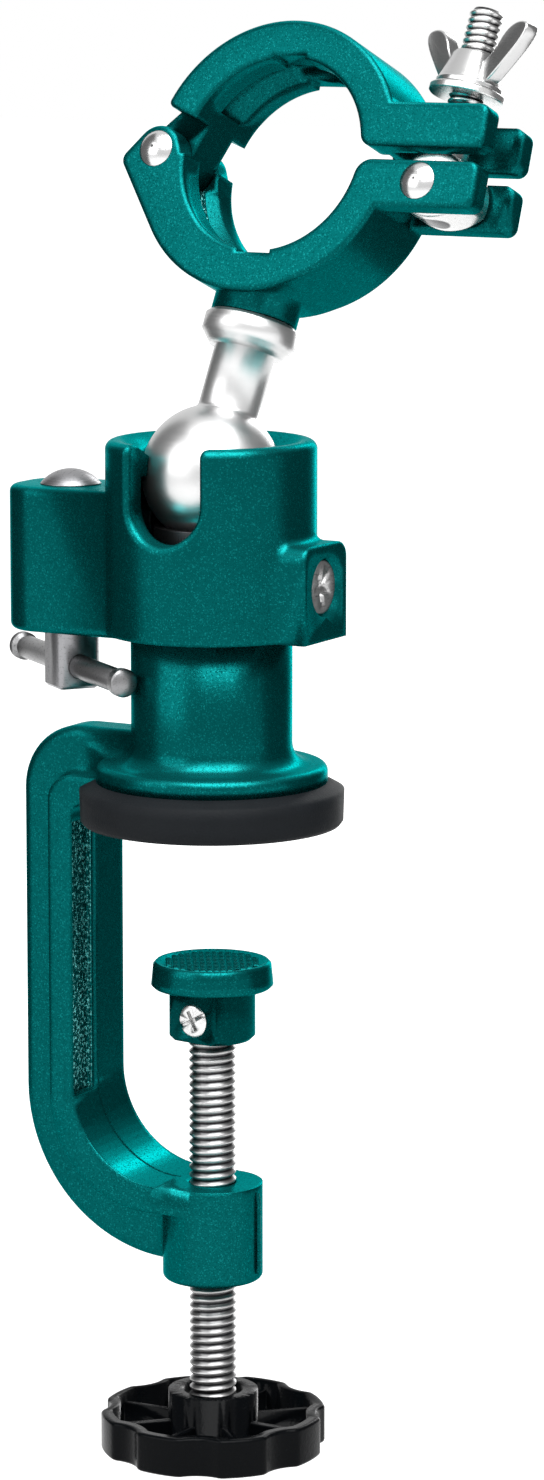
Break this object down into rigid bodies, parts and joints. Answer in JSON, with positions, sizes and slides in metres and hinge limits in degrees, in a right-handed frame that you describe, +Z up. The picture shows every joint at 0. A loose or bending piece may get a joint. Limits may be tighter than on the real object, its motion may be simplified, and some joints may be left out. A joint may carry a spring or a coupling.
{
  "type": "clamp-on ring vise",
  "caption": "Bench clamp with a column, a lockable ball socket and a hinged ring closed by a wing nut, for holding a drill by its collar.",
  "frame": {"origin": "centre of the bench pad's underside, on the column's axis", "axes": "+Z up the column; the frame's bar stands on the -X side; the socket's notch faces -Y"},
  "size_m": [0.1248, 0.0735, 0.3148],
  "materials": {
    "teal_enamel": "glossy metallic teal enamel with a fine speckle",
    "bench_rubber": "matte charcoal rubber",
    "seat_steel": "turned steel",
    "screw_zinc": "dull zinc-plated thread",
    "knob_plastic": "glossy black moulding",
    "bright_zinc": "bright zinc plate",
    "socket_screw_zinc": "worn zinc-plated socket screw",
    "cam_steel": "grey machined steel",
    "tommy_steel": "ground steel rod",
    "polished_steel": "turned and polished steel",
    "rivet_zinc": "bright domed rivet",
    "wing_zinc": "bright cast zinc"
  },
  "bodies": {
    "frame": {"clamp_frame": "teal_enamel", "bench_pad": "bench_rubber", "ball_seat": "seat_steel"},
    "pad_carrier": {"pressure_pad": "teal_enamel", "pad_screw": "bright_zinc"},
    "screw": {"clamp_screw": "screw_zinc", "knob": "knob_plastic"},
    "head": {"socket_head": "teal_enamel", "swivel_screw": "socket_screw_zinc"},
    "cam": {"lock_cam": "cam_steel"},
    "tommy": {"tommy_bar": "tommy_steel"},
    "plunger": {"lock_plunger": "seat_steel"},
    "stud": {"ball_stud": "polished_steel"},
    "lower_ring": {"lower_jaw": "teal_enamel", "hinge_pin": "rivet_zinc", "eye_bolt_pin": "rivet_zinc"},
    "upper_ring": {"upper_jaw": "teal_enamel"},
    "eye_bolt": {"eye_bolt": "bright_zinc"},
    "washer": {"nut_washer": "bright_zinc"},
    "wing_nut": {"wing_nut": "wing_zinc"}
  },
  "joints": [
    {"name": "clamp_travel", "type": "slide", "parent": "frame", "child": "pad_carrier", "axis": [0, 0, 1], "range_m": [-0.03145, 0.02466]},
    {"name": "screw_spin", "type": "hinge", "parent": "pad_carrier", "child": "screw", "pos_m": [0, 0, -0.09], "axis": [0, 0, 1], "range_deg": [-6120.5, 4800]},
    {"name": "head_swivel", "type": "hinge", "parent": "frame", "child": "head", "pos_m": [0, 0, 0.053], "axis": [0, 0, 1], "continuous": true},
    {"name": "lock_turn", "type": "hinge", "parent": "head", "child": "cam", "pos_m": [-0.0352, 0, 0.056], "axis": [0, 0, 1], "range_deg": [-100, 0]},
    {"name": "tommy_slide", "type": "slide", "parent": "cam", "child": "tommy", "axis": [0.7986, -0.6018, 0], "range_m": [-0.019, 0.019]},
    {"name": "plunger_push", "type": "slide", "parent": "head", "child": "plunger", "axis": [1, 0, 0], "range_m": [-0.00095, 0]},
    {"name": "stud_tilt", "type": "hinge", "parent": "head", "child": "stud", "pos_m": [0, 0, 0.0757], "axis": [0.9937, 0, -0.1121], "range_deg": [-22, 108]},
    {"name": "ring_spin", "type": "hinge", "parent": "stud", "child": "lower_ring", "pos_m": [0.0042, 0.01394, 0.11296], "axis": [0.1051, 0.3484, 0.9314], "continuous": true},
    {"name": "jaw_open", "type": "hinge", "parent": "lower_ring", "child": "upper_ring", "pos_m": [-0.02145, 0.02491, 0.13987], "axis": [-0.0295, -0.9351, 0.3531], "range_deg": [-1.95, 3.4]},
    {"name": "eye_bolt_swing", "type": "hinge", "parent": "lower_ring", "child": "eye_bolt", "pos_m": [0.04416, 0.02099, 0.13498], "axis": [-0.0295, -0.9351, 0.3531], "range_deg": [-100, 5]},
    {"name": "nut_travel", "type": "slide", "parent": "eye_bolt", "child": "washer", "axis": [0.0843, 0.3497, 0.9331], "range_m": [-0.00602, 0.01052]},
    {"name": "nut_spin", "type": "hinge", "parent": "washer", "child": "wing_nut", "pos_m": [0.04627, 0.02973, 0.15831], "axis": [0.0843, 0.3497, 0.9331], "range_deg": [-1440, 2520]}
  ],
  "couplings": [
    {"joint": "screw_spin", "follows": "clamp_travel", "rad_per_m": 3396.3},
    {"joint": "plunger_push", "follows": "lock_turn", "m_per_rad": 0.00053858},
    {"joint": "nut_travel", "follows": "nut_spin", "m_per_rad": 0.00023873},
    {"joint": "jaw_open", "follows": "nut_spin", "ratio": 0.0013222}
  ]
}
